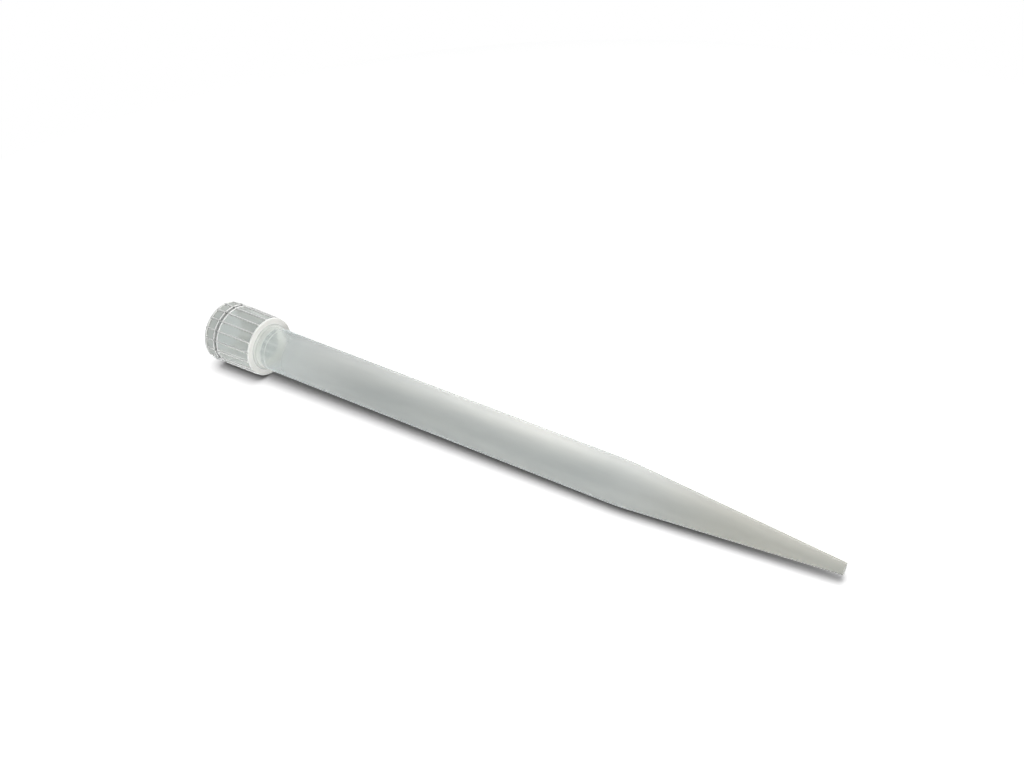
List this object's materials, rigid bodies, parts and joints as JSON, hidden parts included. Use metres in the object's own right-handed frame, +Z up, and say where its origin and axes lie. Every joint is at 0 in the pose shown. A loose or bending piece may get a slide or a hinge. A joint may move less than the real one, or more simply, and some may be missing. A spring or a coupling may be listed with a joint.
{
  "type": "pipette tip",
  "caption": "Long slender disposable tip for a large-volume pipette: ribbed socket collar, straight translucent tube and conical nose, moulded in one piece.",
  "frame": {"origin": "middle of the surface that the tip lies on: half way along its length, under its axis", "axes": "+X along the tip from the socket's mouth to the outlet, +Z up, +Y to the left of +X; at rest the axis dips 1.49 degrees towards the outlet"},
  "size_m": [0.1502, 0.0146, 0.0146],
  "materials": {
    "natural_polypropylene": "natural translucent polypropylene, satin on the tube and nose, clear and polished on the ribbed collar"
  },
  "bodies": {
    "root": {"pipette_tip": "natural_polypropylene"}
  },
  "joints": []
}
